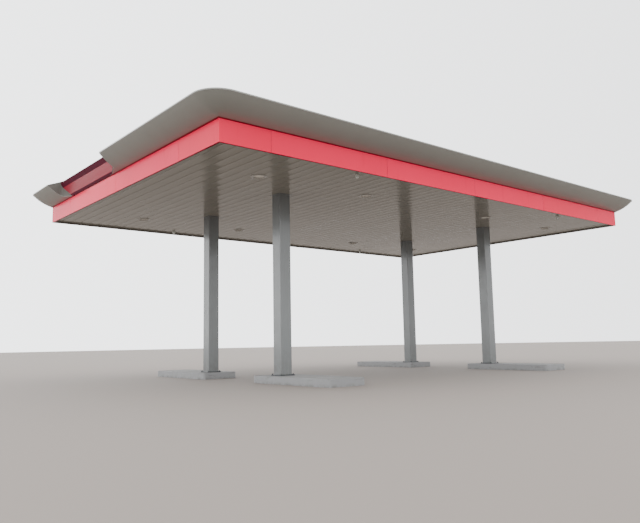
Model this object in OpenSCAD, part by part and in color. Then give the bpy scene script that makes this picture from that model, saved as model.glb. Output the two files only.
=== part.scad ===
// Filling station canopy on four columns, in millimetres.
// Origin on the ground at the middle of the canopy, X along its long side, Z up.
// The front is -Y and the left end, with the sign, is -X.

/* [Canopy] */
// Length between the outer faces of the fascia
canopy_l = 17300; // [16000:100:20000]
// Width between the outer faces of the fascia
canopy_w = 10900; // [10400:100:13000]
// Height from the ground to the lower edge of the fascia
clear_h = 5270; // [4500:10:6000]

/* [Columns] */
// Spacing of the columns along the canopy
col_dx = 9560; // [8800:10:10200]
// Spacing of the columns across the canopy
col_dy = 3950; // [3700:10:4400]
// Shift of the column grid from the middle of the canopy, along it
grid_x = 180; // [-300:10:300]
// Shift of the column grid across the canopy
grid_y = -110; // [-200:10:200]
// Width of the square box column
col_w = 370; // [300:5:450]
// Wall of the box column
col_t = 10; // [6:1:16]
// Outer corner radius of the box column
col_r = 20; // [12:1:40]
// Width of the square base plate
base_w = 480; // [460:5:600]
// Thickness of the base plate
base_t = 25; // [16:1:40]
// Width of the square head plate under the beam
head_w = 430; // [400:5:500]
// Thickness of the head plate
head_t = 20; // [12:1:30]

/* [Islands] */
// Width of a raised island
island_w = 1180; // [900:10:1400]
// Length of a raised island
island_l = 3300; // [2600:10:3400]
// Height of an island above the ground
island_h = 200; // [120:5:250]
// From the column's centre to the island's inner end
island_in = 600; // [400:10:900]
// Plan radius of an island's corners
island_r = 70; // [30:5:150]
// Thickness of the steel curb round an island
curb_t = 8; // [5:1:12]
// Depth of the concrete top below the curb's edge
curb_lip = 4; // [2:1:10]

/* [Fascia] */
// Height of the fascia band
fascia_h = 515; // [500:5:700]
// Thickness of the fascia's composite sheet
sheet_t = 4; // [3:1:6]
// Length of a full fascia panel
panel_l = 3660; // [3000:10:4200]
// Open joint between two fascia panels
joint_gap = 8; // [4:1:14]
// Width of the square tubes of the fascia frame
frame_w = 50; // [40:5:60]
// Wall of the fascia frame's tubes
frame_t = 4; // [3:1:6]
// Largest spacing of the fascia frame's posts
post_pitch = 1500; // [1000:50:1700]

/* [Brim] */
// Reach of the brim's lip beyond the fascia
brim_out = 620; // [450:5:700]
// Height of the lip's upper edge above the fascia
brim_rise = 405; // [340:5:480]
// Height of the lip's edge
lip_h = 30; // [20:1:50]
// Swell of the brim's underside below a straight line
belly = 45; // [25:1:80]
// Height of the ridge behind the brim above the fascia
ridge_h = 630; // [580:5:720]
// Thickness of the brim's skin
skin_t = 3; // [2:1:5]
// Spacing of the ribs inside the brim
rib_pitch = 1450; // [1000:50:1800]
// Thickness of a rib
rib_t = 8; // [5:1:12]
// Clearance round a rib inside the skin
rib_fit = 0.3; // [0.2:0.1:0.5]

/* [Sign] */
// Middle of the sign recess along the left end
notch_c = 1810; // [1600:10:2200]
// Length of the recess at the fascia
notch_l = 3000; // [2600:10:3400]
// How far each end of the recess sweeps along the fascia before it turns outwards
splay = 600; // [450:10:700]
// Distance of that turn from the fascia
turn_out = 190; // [140:5:260]
// Radius of the turn
turn_r = 140; // [80:5:160]
// Further opening of each end from the turn to the lip
flare = 70; // [40:5:150]
// Distance of the sign face's foot from the parapet
foot_out = 30; // [20:1:60]
// Height of the sign face's foot above the fascia
foot_up = 12; // [8:1:60]
// Distance of the sign face's head from the parapet
head_out = 250; // [150:5:350]
// Height of the sign face's head above the fascia
head_up = 495; // [400:5:520]
// Thickness of the sign's face
face_t = 6; // [4:1:10]
// Thickness of the cover over the sign
cover_t = 4; // [3:1:8]
// Drop of the cover's front lip over the face
cover_drop = 165; // [80:5:200]
// Height of the sill over the foot of the face
sill_h = 75; // [50:5:130]
// Gap between the sign and the ends of the recess
sign_gap = 6; // [3:1:15]

/* [Ceiling] */
// Height of the ceiling above the fascia's lower edge
soffit_up = 50; // [30:1:60]
// Width of a ceiling plank with its groove
plank_p = 300; // [200:10:400]
// Width of the groove between planks
groove_w = 12; // [8:1:20]
// Depth of a plank's folded sides
plank_h = 18; // [14:1:25]
// Thickness of a plank's sheet
plank_t = 2; // [1.5:0.5:3]
// Number of planks in the middle bay, counted from its middle
bay_planks = 12; // [8:1:13]
// Width of the ledge that carries the ceiling's edge
ledge_w = 25; // [15:1:40]
// Thickness of the edge trim
trim_t = 3; // [2:1:4]
// Width of the square tubes that carry the planks
rail_w = 40; // [30:5:50]
// Wall of these tubes
rail_t = 3; // [2:1:5]
// Spacing of these tubes
rail_p = 1370; // [1300:10:1420]
// Leg of the angles that hang the tubes
hanger_w = 30; // [25:1:40]
// Gap at the edge of the ceiling, and half the gap between two bays
edge_gap = 1; // [1:0.5:4]
// Gap between a column and the ceiling's cut-out
col_gap = 12; // [6:1:20]
// Width of the collar round a column
collar_w = 45; // [30:1:70]
// Thickness of the collar
collar_t = 4; // [3:1:6]
// Gap between a collar and its column
collar_fit = 1; // [0.5:0.5:3]

/* [Lights] */
// Shift of a pair of downlights from its column line, along the canopy
light_shift = 200; // [0:10:300]
// Distance of the downlights from the middle of their pair
light_dx = 1890; // [1700:10:2000]
// Distance of the downlights from the long axis
light_y = 3440; // [3300:10:3500]
// Radius of a downlight's can
can_r = 165; // [140:1:180]
// Height of a downlight's can
can_h = 130; // [90:5:180]
// Wall of the can
can_t = 3; // [2:1:5]
// Outer radius of a downlight's ring
ring_r = 215; // [205:1:240]
// Inner radius of a downlight's ring
ring_in = 146; // [125:1:155]
// Thickness of a downlight's ring
ring_t = 8; // [5:1:12]
// Thickness of a downlight's lens
lens_t = 6; // [4:1:10]
// Height of the lens's lower face above the ceiling's
lens_up = 32; // [15:1:60]
// Inner radius of the ledge that carries the lens in its can
seat_r = 152; // [148:1:158]
// Thickness of this ledge
seat_t = 3; // [2:1:6]
// Gap between a can and the planks
can_gap = 5; // [3:1:10]
// Gap between a lens and its can
lens_gap = 1; // [0.5:0.5:3]
// Distance of the edge lamps from the fascia
lamp_in = 400; // [250:10:500]
// Distance of the edge lamps from the column lines, along the canopy
lamp_dx = 240; // [0:10:400]
// Radius of an edge lamp's body
lamp_r = 52; // [40:1:70]
// Height of an edge lamp's body
lamp_h = 55; // [40:1:80]
// Radius of an edge lamp's dome
dome_r = 44; // [30:1:48]

/* [Roof frame] */
// Depth of the two main beams
beam_h = 220; // [190:5:230]
// Width of the main beams
beam_w = 180; // [140:5:220]
// Thickness of the main beams' flanges
beam_tf = 12; // [8:1:16]
// Thickness of the main beams' web
beam_tw = 8; // [6:1:12]
// Depth of a rafter
rafter_h = 120; // [100:5:125]
// Width of a rafter
rafter_w = 64; // [50:2:80]
// Thickness of a rafter's flanges
rafter_tf = 8; // [6:1:10]
// Thickness of a rafter's web
rafter_tw = 5; // [4:1:8]
// Number of rafters
rafter_n = 9; // [7:2:11]
// Distance of the end rafters from the fascia
rafter_in = 370; // [320:10:450]
// Fall of the roof from its middle to the end rafters
roof_fall = 50; // [30:1:55]
// Width of the cleats under the rafters
cleat_w = 90; // [60:5:120]
// Spacing of the roof sheet's ribs
sheet_p = 250; // [200:10:333]
// Height of the roof sheet's ribs
rib_h = 40; // [30:1:50]
// Thickness of the roof sheet
deck_t = 2; // [1:0.5:3]
// How far the roof sheet passes the end rafter
deck_over = 60; // [30:5:80]
// Gap between the roof sheet and the parapet
deck_gap = 8; // [4:1:20]
// Depth of the end gutters
gutter_h = 90; // [70:5:100]
// Thickness of the gutters
gutter_t = 3; // [2:1:4]
// Gap between a gutter and the roof sheet over it
gutter_gap = 5; // [3:1:10]

/* [Hidden] */

red = "crimson";
warm_grey = "dimgray";
light_grey = "silver";

front = 0;
right = 1;
back = 2;
left = 3;

big = 20000;
z_top = clear_h + fascia_h;
z_soffit = clear_h + soffit_up;
z_rail = z_soffit + plank_h;
z_beam = z_rail + rail_w;
z_beam_top = z_beam + beam_h;
z_plate = island_h - curb_lip;
frame_in = sheet_t + frame_w;
parapet_w = frame_in + skin_t;
soffit_x = canopy_l / 2 - frame_in - trim_t - edge_gap;
soffit_y = canopy_w / 2 - frame_in - trim_t - edge_gap;
bay_x = bay_planks * plank_p;

col_xs = [grid_x - col_dx / 2, grid_x + col_dx / 2];
col_ys = [grid_y - col_dy / 2, grid_y + col_dy / 2];
light_xs = [for (x = col_xs, s = [-1, 1]) x + light_shift + s * light_dx];
can_hole = can_r + can_gap;
rail_n = floor((soffit_y - rail_w) / rail_p);
rail_ys = [for (i = [-rail_n:rail_n]) i * rail_p];

rafter_end = canopy_l / 2 - rafter_in;
rafter_xs = [for (i = [0:rafter_n - 1]) rafter_end * (2 * i / (rafter_n - 1) - 1)];
roof_slope = atan(roof_fall / rafter_end);

// Underside of the roof sheet at a distance x from the middle
function z_deck(x) = z_top - abs(x) * tan(roof_slope);
// Underside of the rafter that stands at x
function z_rafter(x) = z_deck(abs(x) + rafter_w / 2) - rafter_h;

// Half of a side's length, and its distance from the middle of the canopy
function half(side) = (side % 2 == 0 ? canopy_l : canopy_w) / 2;
function reach(side) = (side % 2 == 0 ? canopy_w : canopy_l) / 2;

// Circle of the brim's swelling underside, through the fascia's edge and the lip
lip_low = brim_rise - lip_h;
chord = norm([brim_out, lip_low]);
belly_r = (chord * chord / 4 + belly * belly) / (2 * belly);
belly_mid = [
  brim_out / 2 - (belly_r - belly) * lip_low / chord,
  lip_low / 2 + (belly_r - belly) * brim_out / chord
];
brim_slope = atan((ridge_h - brim_rise) / brim_out);

// Places the children, drawn along X with -Y outwards, on one side of the canopy
module on_side(side) {
  rotate([0, 0, 90 * side]) translate([0, -reach(side), 0]) children();
}

// Runs a section, drawn as outwards and up, along a side from a to b
module run(a, b) {
  translate([a, 0, 0]) rotate([90, 0, 90]) linear_extrude(b - a) mirror([1, 0]) children();
}

// Space of one side between the mitre lines at its corners
module mitred(side) {
  h = half(side);
  linear_extrude(big) polygon([[-h, -h], [h, -h], [h, 0], [0, h], [-h, 0]]);
}

module at_columns() {
  for (x = col_xs, y = col_ys) translate([x, y, 0]) children();
}

module rounded_square(w, l, r) {
  square([w - 2 * r, l], center = true);
  square([w, l - 2 * r], center = true);
  for (x = [-1, 1], y = [-1, 1])
    translate([x * (w / 2 - r), y * (l / 2 - r)]) circle(r = r, $fn = 48);
}

module i_section(h, w, tf, tw) {
  translate([-w / 2, 0]) square([w, tf]);
  translate([-w / 2, h - tf]) square([w, tf]);
  translate([-tw / 2, 0]) square([tw, h]);
}

module tube_section(w, t) {
  difference() {
    square(w);
    translate([t, t]) square(w - 2 * t);
  }
}

// Raised island: a concrete fill inside a steel curb
module at_island(x, y) {
  translate([col_xs[x], col_ys[y] + (2 * y - 1) * (island_l / 2 - island_in), 0]) children();
}

module island(x, y) {
  color("lightgray")
    at_island(x, y)
      linear_extrude(z_plate)
        rounded_square(island_w - 2 * curb_t, island_l - 2 * curb_t, island_r - curb_t);
}

module island_curbs() {
  color("gainsboro")
    for (x = [0, 1], y = [0, 1])
      at_island(x, y)
        linear_extrude(island_h)
          difference() {
            rounded_square(island_w, island_l, island_r);
            rounded_square(island_w - 2 * curb_t, island_l - 2 * curb_t, island_r - curb_t);
          }
}

module base_plates() {
  color("dimgray")
    at_columns()
      translate([0, 0, z_plate]) linear_extrude(base_t) rounded_square(base_w, base_w, col_r);
}

module column(x, y) {
  z0 = z_plate + base_t;
  color(light_grey)
    translate([col_xs[x], col_ys[y], z0])
      linear_extrude(z_beam - head_t - z0)
        difference() {
          rounded_square(col_w, col_w, col_r);
          rounded_square(col_w - 2 * col_t, col_w - 2 * col_t, col_r - col_t);
        }
}

module column_heads() {
  color("dimgray")
    at_columns()
      translate([-head_w / 2, -head_w / 2, z_beam - head_t]) cube([head_w, head_w, head_t]);
}

// Flat collar that hides the cut in the ceiling round each column
module column_collars() {
  hole = col_w + 2 * collar_fit;
  out = col_w + 2 * collar_w;
  color(light_grey)
    at_columns()
      translate([0, 0, z_soffit - collar_t])
        linear_extrude(collar_t)
          difference() {
            square(out, center = true);
            rounded_square(hole, hole, col_r);
          }
}

// Main beam over a row of columns
module beam(y) {
  span = canopy_l - 2 * frame_in;
  color("gray")
    translate([-span / 2, col_ys[y], z_beam])
      rotate([90, 0, 90]) linear_extrude(span) i_section(beam_h, beam_w, beam_tf, beam_tw);
}

module rafters() {
  span = canopy_w - 2 * frame_in;
  color("gray")
    for (x = rafter_xs)
      translate([x, span / 2, z_rafter(x)])
        rotate([90, 0, 0])
          linear_extrude(span) i_section(rafter_h, rafter_w, rafter_tf, rafter_tw);
}

// Packing cleats that give the roof its fall
module rafter_cleats() {
  color("dimgray")
    for (x = rafter_xs, y = col_ys)
      translate([x - rafter_w / 2, y - cleat_w / 2, z_beam_top])
        cube([rafter_w, cleat_w, z_rafter(x) - z_beam_top]);
}

module soffit_rails() {
  span = canopy_l - 2 * frame_in;
  color("gray")
    for (y = rail_ys)
      translate([-span / 2, y - rail_w / 2, z_rail])
        rotate([90, 0, 90]) linear_extrude(span) tube_section(rail_w, rail_t);
}

// Steel angles that hang the ceiling's tubes from the rafters
module soffit_hangers() {
  color("gray")
    for (x = rafter_xs, y = rail_ys)
      translate([x - hanger_w / 2, y - hanger_w / 2, z_beam])
        linear_extrude(z_rafter(x) - z_beam)
          difference() {
            square(hanger_w);
            translate([rail_t, rail_t]) square(hanger_w);
          }
}

// Section of planks i0 to i1 as one folded sheet, with a groove after each plank
module plank_section(i0, i1) {
  flat = plank_p - groove_w;
  rise = plank_h - plank_t;
  under = [for (i = [i0:i1], q = [[0, 0], [flat, 0], [flat, rise], [plank_p, rise]]) [i * plank_p, 0] + q];
  over = [
    for (i = [i1:-1:i0], q = [
      [flat - plank_t, plank_h], [flat - plank_t, plank_t], [plank_t, plank_t], [plank_t, plank_h]
    ]) [i * plank_p, 0] + q
  ];
  polygon(concat(under, [[(i1 + 1) * plank_p, plank_h]], over, [[i0 * plank_p, plank_h]]));
}

// Ceiling bay from x0 to x1, cut for the columns and the downlights
module soffit(x0, x1) {
  hole = col_w + 2 * col_gap;
  color(warm_grey)
    difference() {
      translate([0, soffit_y, z_soffit])
        rotate([90, 0, 0])
          linear_extrude(2 * soffit_y)
            intersection() {
              plank_section(floor(x0 / plank_p), ceil(x1 / plank_p) - 1);
              translate([x0, -1]) square([x1 - x0, plank_h + 2]);
            }
      for (x = col_xs, y = col_ys)
        if (x + hole > x0 && x - hole < x1)
          translate([x - hole / 2, y - hole / 2, z_soffit - 1]) cube([hole, hole, plank_h + 2]);
      for (x = light_xs, y = [-light_y, light_y])
        if (x + can_hole > x0 && x - can_hole < x1)
          translate([x, y, z_soffit - 1]) cylinder(r = can_hole, h = plank_h + 2, $fn = 64);
    }
}

// Angle under the edge of the ceiling that also closes the fascia's inner side
module soffit_trims() {
  color(warm_grey)
    for (side = [front:left])
      on_side(side)
        intersection() {
          run(-half(side), half(side)) {
            translate([-frame_in - trim_t, clear_h]) square([trim_t, soffit_up + plank_h]);
            translate([-frame_in - trim_t - ledge_w, z_soffit - trim_t]) square([ledge_w, trim_t]);
          }
          mitred(side);
        }
}

// Welded frame of two tubes and posts behind the fascia of each side
module fascia_frames() {
  rail_gap = fascia_h - 2 * sheet_t - 2 * frame_w;
  color("dimgray")
    for (side = [front:left]) {
      h = half(side) - (side % 2 == 0 ? sheet_t : frame_in);
      n = ceil((2 * h - frame_w) / post_pitch);
      on_side(side)
        translate([0, frame_in, clear_h + sheet_t]) {
          for (z = [0, rail_gap + frame_w])
            translate([0, 0, z]) run(-h, h) tube_section(frame_w, frame_t);
          for (i = [0:n])
            translate([-h + i * (2 * h - frame_w) / n, -frame_w, frame_w])
              linear_extrude(rail_gap) tube_section(frame_w, frame_t);
        }
    }
}

// Red panels of one side, each a tray with folded returns and mitred at the corners
module fascia(side) {
  h = half(side);
  n = floor((h - panel_l / 4) / panel_l);
  inner = [for (i = [-n:n]) i * panel_l];
  starts = concat([-h], [for (x = inner) x + joint_gap / 2]);
  ends = concat([for (x = inner) x - joint_gap / 2], [h]);
  color(red)
    on_side(side)
      intersection() {
        for (i = [0:len(starts) - 1])
          run(starts[i], ends[i])
            translate([-frame_in, clear_h])
              difference() {
                square([frame_in, fascia_h]);
                translate([-1, sheet_t]) square([frame_w + 1, fascia_h - 2 * sheet_t]);
              }
        mitred(side);
      }
}

// Roof sheet over the half of the canopy towards +X
module roof_sheet() {
  edge = canopy_w / 2 - parapet_w - deck_gap;
  n = floor(2 * edge / sheet_p);
  valley = sheet_p * 0.5;
  flank = sheet_p * 0.12;
  y0 = -n * sheet_p / 2;
  under = [
    for (i = [0:n - 1], q = [[0, 0], [valley, 0], [valley + flank, rib_h], [sheet_p - flank, rib_h]])
      [y0 + i * sheet_p, 0] + q
  ];
  profile = concat([[-edge, 0]], under, [[y0 + n * sheet_p, 0], [edge, 0]]);
  color("lightgray")
    translate([0, 0, z_top])
      rotate([0, roof_slope, 0])
        rotate([90, 0, 90])
          linear_extrude(rafter_end + rafter_w / 2 + deck_over)
            polygon(concat(profile, [for (i = [len(profile) - 1:-1:0]) profile[i] + [0, deck_t]]));
}

module roof_left() {
  mirror([1, 0, 0]) roof_sheet();
}

module roof_right() {
  roof_sheet();
}

module gutters() {
  w = rafter_in - rafter_w / 2 - frame_in;
  z = z_deck(rafter_end + rafter_w / 2 + deck_over) - gutter_h - gutter_gap;
  color("lightgray")
    for (side = [left, right])
      on_side(side)
        run(frame_in - half(side), half(side) - frame_in)
          translate([-frame_in - w, z])
            difference() {
              square([w, gutter_h]);
              translate([gutter_t, gutter_t]) square([w - 2 * gutter_t, gutter_h]);
            }
}

// Section of the brim and parapet, shrunk by t on all its faces
module brim_section(t) {
  slope_t = t / cos(brim_slope);
  lip_x = brim_out - t;
  intersection() {
    translate(belly_mid) circle(r = belly_r - t, $fn = 240);
    polygon([
      [t - parapet_w, t], [lip_x, t], [lip_x, brim_rise + t * tan(brim_slope) - slope_t],
      [0, ridge_h - slope_t], [t - parapet_w, ridge_h - slope_t]
    ]);
  }
}

module brim_skin() {
  difference() {
    brim_section(0);
    brim_section(skin_t);
  }
}

module outboard(from = 0) {
  intersection() {
    children();
    translate([from, -1]) square([big, big]);
  }
}

// Lines of the recess's ends in plan, as x = x0 + slope * out, and the centre of the turn between them
sweep_slope = splay / turn_out;
flare_slope = flare / (brim_out - turn_out);
sweep_len = norm([1, sweep_slope]);
flare_len = norm([1, flare_slope]);
turn_ahead = turn_r * (sweep_len - flare_len) / (sweep_slope - flare_slope);
turn_mid = [
  notch_l / 2 + splay + flare_slope * turn_ahead - turn_r * flare_len,
  turn_out + turn_ahead
];

// Space of the sign recess, grown by t at both ends
module notch_space(t) {
  r = turn_r + t;
  x0 = notch_l / 2 + t;
  far = 1.2 * brim_out;
  outline = [
    [0, -2 * parapet_w], [x0, -2 * parapet_w], [x0, -t * (sweep_len - 1) / sweep_slope],
    turn_mid + r / sweep_len * [1, -sweep_slope], turn_mid + r / flare_len * [1, -flare_slope],
    [notch_l / 2 + splay + flare_slope * (far - turn_out) + t * flare_len, far], [0, far]
  ];
  translate([-notch_c, 0, 0])
    linear_extrude(big)
      for (end = [0, 1])
        mirror([end, 0]) mirror([0, 1]) {
          polygon(outline);
          translate(turn_mid) circle(r = r, $fn = 72);
        }
}

module brim(side, a, b) {
  color(warm_grey)
    on_side(side)
      intersection() {
        run(a, b) translate([0, z_top]) brim_skin();
        mitred(side);
      }
}

// Part of the left brim beside the sign, closed by a plate along the end of the recess
module brim_left(a, b) {
  color(warm_grey)
    on_side(left)
      intersection() {
        difference() {
          run(a, b) translate([0, z_top]) brim_section(0);
          notch_space(0);
          difference() {
            run(a - skin_t, b + skin_t) translate([0, z_top]) brim_section(skin_t);
            notch_space(skin_t);
          }
        }
        mitred(left);
      }
}

module brim_left_front() {
  brim_left(-notch_c, half(left));
}

module brim_left_back() {
  brim_left(-half(left), -notch_c);
}

// Corners of the brim, turned round the fascia's sharp corner
module brim_corners() {
  color(warm_grey)
    for (side = [front:left])
      on_side(side)
        translate([half(side), 0, z_top])
          rotate([0, 0, -90]) rotate_extrude(angle = 90, $fn = 96) outboard() brim_skin();
}

// Plates inside the brim, clear of the skin by a small fit
module brim_ribs() {
  color("gray")
    for (side = [front:left]) {
      h = half(side) - parapet_w - rib_t;
      n = ceil(2 * h / rib_pitch);
      on_side(side) {
        for (i = [0:n]) {
          x = -h + i * 2 * h / n;
          if (side != left || abs(x + notch_c) > notch_l / 2 + splay + flare + rib_t)
            run(x - rib_t / 2, x + rib_t / 2)
              translate([0, z_top]) brim_section(skin_t + rib_fit);
        }
        translate([half(side), 0, 0])
          rotate([0, 0, 45])
            run(-rib_t / 2, rib_t / 2)
              translate([0, z_top]) outboard(brim_out / 8) brim_section(skin_t + rib_fit);
      }
    }
}

// Parapet wall behind the sign
module sign_backing() {
  color(warm_grey)
    on_side(left)
      run(-notch_c - notch_l / 2, notch_l / 2 - notch_c)
        translate([-parapet_w, z_top])
          difference() {
            square([parapet_w, ridge_h]);
            translate([skin_t, skin_t]) square([parapet_w - 2 * skin_t, ridge_h - 2 * skin_t]);
          }
}

// Stands a section of the sign in the recess, between its splayed ends
module in_recess() {
  on_side(left)
    intersection() {
      run(-half(left), half(left)) translate([0, z_top]) children();
      notch_space(-sign_gap);
    }
}

lean = [head_out - foot_out, head_up - foot_up];
face_run = face_t * norm(lean) / lean[1];

module sign_box() {
  color("maroon")
    in_recess()
      polygon([[0, foot_up], [foot_out - face_run, foot_up], [head_out - face_run, head_up], [0, head_up]]);
}

module sign_face() {
  color(red)
    in_recess()
      polygon([[foot_out - face_run, foot_up], [foot_out, foot_up], [head_out, head_up],
               [head_out - face_run, head_up]]);
}

// Cover over the sign with its front lip, and the sill over the foot of the face
module sign_cover() {
  drop = lean * cover_drop / norm(lean);
  sill = lean * sill_h / norm(lean);
  color("maroon")
    in_recess() {
      polygon([
        [0, head_up], [head_out, head_up], [head_out, head_up] - drop, [head_out + cover_t, head_up] - drop,
        [head_out + cover_t, head_up + cover_t], [0, head_up + cover_t]
      ]);
      polygon([
        [foot_out, foot_up], [foot_out + cover_t, foot_up], [foot_out + cover_t, foot_up] + sill,
        [foot_out, foot_up] + sill
      ]);
    }
}

module at_downlights() {
  for (x = light_xs, y = [-light_y, light_y]) translate([x, y, z_soffit]) children();
}

module downlight_cans() {
  color("darkgray")
    at_downlights()
      rotate_extrude($fn = 72)
        polygon([
          [can_r - can_t, 0], [can_r, 0], [can_r, can_h], [0, can_h], [0, can_h - can_t],
          [can_r - can_t, can_h - can_t], [can_r - can_t, lens_up], [seat_r, lens_up],
          [seat_r, lens_up - seat_t], [can_r - can_t, lens_up - seat_t]
        ]);
}

module downlight_rings() {
  color(light_grey)
    at_downlights()
      translate([0, 0, -ring_t])
        difference() {
          cylinder(r = ring_r, h = ring_t, $fn = 72);
          translate([0, 0, -1]) cylinder(r = ring_in, h = ring_t + 2, $fn = 72);
        }
}

// Lenses set back in their cans, each on its can's ledge
module downlight_lenses() {
  color("white")
    at_downlights()
      translate([0, 0, lens_up]) cylinder(r = can_r - can_t - lens_gap, h = lens_t, $fn = 72);
}

// Small round lamps under the long edges, beside the column lines
module edge_lamps() {
  color("white")
    for (x = col_xs, s = [-1, 1])
      translate([x + lamp_dx, s * (canopy_w / 2 - lamp_in), z_soffit - lamp_h]) {
        cylinder(r = lamp_r, h = lamp_h, $fn = 48);
        sphere(r = dome_r, $fn = 48);
      }
}

island(0, 0);  // island_front_left
island(1, 0);  // island_front_right
island(0, 1);  // island_back_left
island(1, 1);  // island_back_right
island_curbs();
base_plates();
column(0, 0);  // column_front_left
column(1, 0);  // column_front_right
column(0, 1);  // column_back_left
column(1, 1);  // column_back_right
column_heads();
column_collars();
beam(0);  // beam_front
beam(1);  // beam_back
rafters();
rafter_cleats();
soffit_rails();
soffit_hangers();
soffit(-soffit_x, -bay_x);  // soffit_left
soffit(edge_gap - bay_x, bay_x - edge_gap);  // soffit_middle
soffit(bay_x, soffit_x);  // soffit_right
soffit_trims();
fascia_frames();
fascia(front);  // fascia_front
fascia(right);  // fascia_right
fascia(back);  // fascia_back
fascia(left);  // fascia_left
roof_left();
roof_right();
gutters();
brim(front, -half(front), half(front));  // brim_front
brim(right, -half(right), half(right));  // brim_right
brim(back, -half(back), half(back));  // brim_back
brim_left_front();
brim_left_back();
brim_corners();
brim_ribs();
sign_backing();
sign_box();
sign_face();
sign_cover();
downlight_cans();
downlight_rings();
downlight_lenses();
edge_lamps();
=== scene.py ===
import math

import bpy
from mathutils import Matrix, Vector


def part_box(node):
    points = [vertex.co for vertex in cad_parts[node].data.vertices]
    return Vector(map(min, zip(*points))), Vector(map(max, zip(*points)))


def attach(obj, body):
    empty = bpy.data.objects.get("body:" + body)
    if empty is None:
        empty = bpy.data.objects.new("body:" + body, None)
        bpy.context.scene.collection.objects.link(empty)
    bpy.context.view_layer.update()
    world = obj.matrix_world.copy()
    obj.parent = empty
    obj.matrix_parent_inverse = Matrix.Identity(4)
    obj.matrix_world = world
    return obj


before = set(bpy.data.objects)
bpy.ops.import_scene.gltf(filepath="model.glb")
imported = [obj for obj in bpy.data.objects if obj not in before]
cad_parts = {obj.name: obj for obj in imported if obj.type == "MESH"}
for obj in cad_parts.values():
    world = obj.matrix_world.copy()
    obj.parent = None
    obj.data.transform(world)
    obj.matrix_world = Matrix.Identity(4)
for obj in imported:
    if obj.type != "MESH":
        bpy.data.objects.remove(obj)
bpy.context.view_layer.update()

# The view: a camera about 1.1 m up, off the canopy's front left corner, turned a
# little off level as it was held, at the distance that gives the columns their
# places in the picture.
eye = (-15.302, -16.657, 1.093)
turned, tilted, rolled = 0.87695, 0.1256, -0.01861
ahead = Vector((
    math.cos(tilted) * math.cos(turned), math.cos(tilted) * math.sin(turned), math.sin(tilted)
))
level = ahead.cross(Vector((0, 0, 1))).normalized()
rise = level.cross(ahead)
to_right = level * math.cos(rolled) + rise * math.sin(rolled)
to_top = rise * math.cos(rolled) - level * math.sin(rolled)
camera = bpy.data.objects.new("camera", bpy.data.cameras.new("camera"))
bpy.context.collection.objects.link(camera)
camera.data.sensor_width = 36
camera.data.lens = 35.963
camera.data.clip_end = 400
facing = Matrix((to_right, to_top, -ahead)).transposed().to_4x4()
camera.matrix_world = Matrix.Translation(eye) @ facing
bpy.context.scene.camera = camera


# The studio: a pale matte floor under the canopy, a plain pale dome of light that is
# brighter on the side that the sign faces, and a large soft lamp in front.
def shader_of(made):
    """The shader of a finish."""
    return made.node_tree.nodes["Principled BSDF"]


def finish(name, colour, roughness, metallic=0.0, specular=0.5):
    """Starts a finish: a shader of one colour, and the piece's own coordinates."""
    made = bpy.data.materials.new(name)
    made.use_nodes = True
    inputs = shader_of(made).inputs
    inputs["Base Color"].default_value = (*colour, 1)
    inputs["Roughness"].default_value = roughness
    inputs["Metallic"].default_value = metallic
    inputs["Specular IOR Level"].default_value = specular
    made.node_tree.nodes.new("ShaderNodeTexCoord").name = "piece"
    return made


bpy.ops.object.select_all(action="DESELECT")
bpy.ops.mesh.primitive_circle_add(vertices=96, radius=160, fill_type="NGON", location=(0, 0, 0))
floor = bpy.context.active_object
floor.name = "studio_floor"
floor.data.materials.append(finish("studio_floor", (0.192, 0.164, 0.143), 0.9))

dome = bpy.data.worlds.new("studio_dome")
dome.use_nodes = True
sky = dome.node_tree
sky.nodes["Background"].inputs["Color"].default_value = (0.97, 0.985, 1.0, 1)
towards = sky.nodes.new("ShaderNodeVectorMath")
towards.operation = "DOT_PRODUCT"
towards.inputs[1].default_value = (0.7, -0.7, 0)
sky.links.new(sky.nodes.new("ShaderNodeTexCoord").outputs["Generated"], towards.inputs[0])
sky_light = sky.nodes.new("ShaderNodeMapRange")
for key, value in (("From Min", -1), ("From Max", 1), ("To Min", 3.95), ("To Max", 2.25)):
    sky_light.inputs[key].default_value = value
sky.links.new(towards.outputs["Value"], sky_light.inputs["Value"])
sky.links.new(sky_light.outputs[0], sky.nodes["Background"].inputs["Strength"])
bpy.context.scene.world = dome

lamp_place, lamp_target = Vector((4, -40, 20)), Vector((0, 0, 3))
soft_lamp = bpy.data.objects.new("lamp_front", bpy.data.lights.new("lamp_front", "AREA"))
soft_lamp.data.size = 20
soft_lamp.data.energy = 3000
soft_lamp.location = lamp_place
soft_lamp.rotation_euler = (lamp_target - lamp_place).to_track_quat("-Z", "Y").to_euler()
bpy.context.collection.objects.link(soft_lamp)


# Islands: concrete poured level inside a steel curb and trowelled. The top is dusty,
# with darker patches of wear and old stains, and fine pits.
def add(made, kind, **inputs):
    """Adds a node and fills its inputs: a socket is linked, and a value is set.
    i0, i1 and so on name an input by its number."""
    node = made.node_tree.nodes.new("ShaderNode" + kind)
    for key, value in inputs.items():
        if key in ("operation", "noise_dimensions", "data_type", "interpolation_type"):
            setattr(node, key, value)
            continue
        numbered = key[0] == "i" and key[1:].isdigit()
        socket = node.inputs[int(key[1:]) if numbered else key.replace("_", " ")]
        if isinstance(value, bpy.types.NodeSocket):
            made.node_tree.links.new(value, socket)
        else:
            socket.default_value = value
    return node


def maths(made, operation, *amounts):
    """The result of one operation on amounts."""
    filled = {f"i{number}": amount for number, amount in enumerate(amounts)}
    return add(made, "Math", operation=operation, **filled).outputs[0]


def place_on(made):
    """The place on the piece, in its own coordinates."""
    return made.node_tree.nodes["piece"].outputs["Object"]


def noise(made, scale, detail, stretch, roughness):
    """Noise on the piece's own coordinates."""
    place = add(made, "Mapping", Vector=place_on(made), Scale=stretch).outputs[0]
    return add(
        made, "TexNoise", Vector=place, Scale=scale, Detail=detail, Roughness=roughness
    ).outputs[0]


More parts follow.
